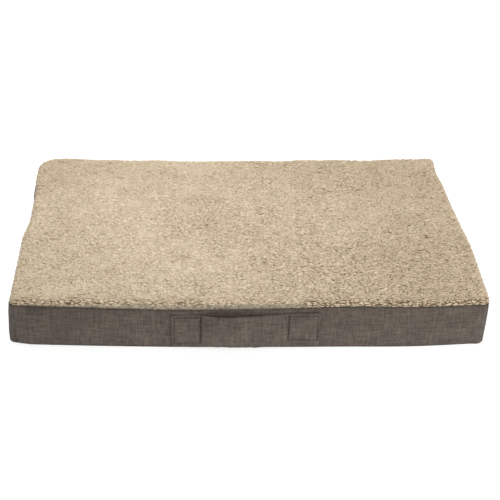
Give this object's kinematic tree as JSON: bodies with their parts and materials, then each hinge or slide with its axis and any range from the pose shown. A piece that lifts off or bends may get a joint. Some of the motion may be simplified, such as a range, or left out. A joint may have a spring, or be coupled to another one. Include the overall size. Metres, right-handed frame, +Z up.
{
  "type": "pet cushion bed",
  "caption": "Rectangular foam mattress bed for a pet, with a curly sherpa top, linen-look sides, a fabric carry handle and a zipped back.",
  "frame": {"origin": "on the floor under the middle of the bed", "axes": "+X along the long side, to the right seen from the front; the front with its handle faces -Y; +Z up"},
  "size_m": [0.94, 0.6415, 0.106],
  "materials": {
    "sherpa": "matte",
    "linen": "matte",
    "base_cloth": "matte",
    "thread": "matte",
    "zip_tape": "matte",
    "nylon_coil": "satin",
    "zip_metal": "satin",
    "support_foam": "matte",
    "top_foam": "matte",
    "label_cloth": "matte"
  },
  "bodies": {
    "cover_and_foam": {"sherpa_top_panel": "sherpa", "front_gusset": "linen", "left_gusset": "linen", "right_gusset": "linen", "back_gusset_upper": "linen", "back_gusset_lower": "linen", "base_panel": "base_cloth", "handle_strap": "linen", "handle_stitch_left": "thread", "handle_stitch_right": "thread", "zipper_tape_upper": "zip_tape", "zipper_tape_lower": "zip_tape", "zipper_coil_upper": "nylon_coil", "zipper_coil_lower": "nylon_coil", "zipper_top_stop": "zip_metal", "zipper_bottom_stop": "zip_metal", "foam_support_slab": "support_foam", "foam_topper": "top_foam", "care_label": "label_cloth"},
    "slider": {"zipper_slider": "zip_metal"},
    "pull_tab": {"zipper_pull_tab": "zip_metal"}
  },
  "joints": [
    {"name": "zipper_slide", "type": "slide", "parent": "cover_and_foam", "child": "slider", "axis": [-1, 0, 0], "range_m": [0, 0.784]},
    {"name": "pull_tab_hinge", "type": "hinge", "parent": "slider", "child": "pull_tab", "pos_m": [0.392, 0.3089, 0.047], "axis": [0, 0, -1], "range_deg": [0, 180]}
  ]
}
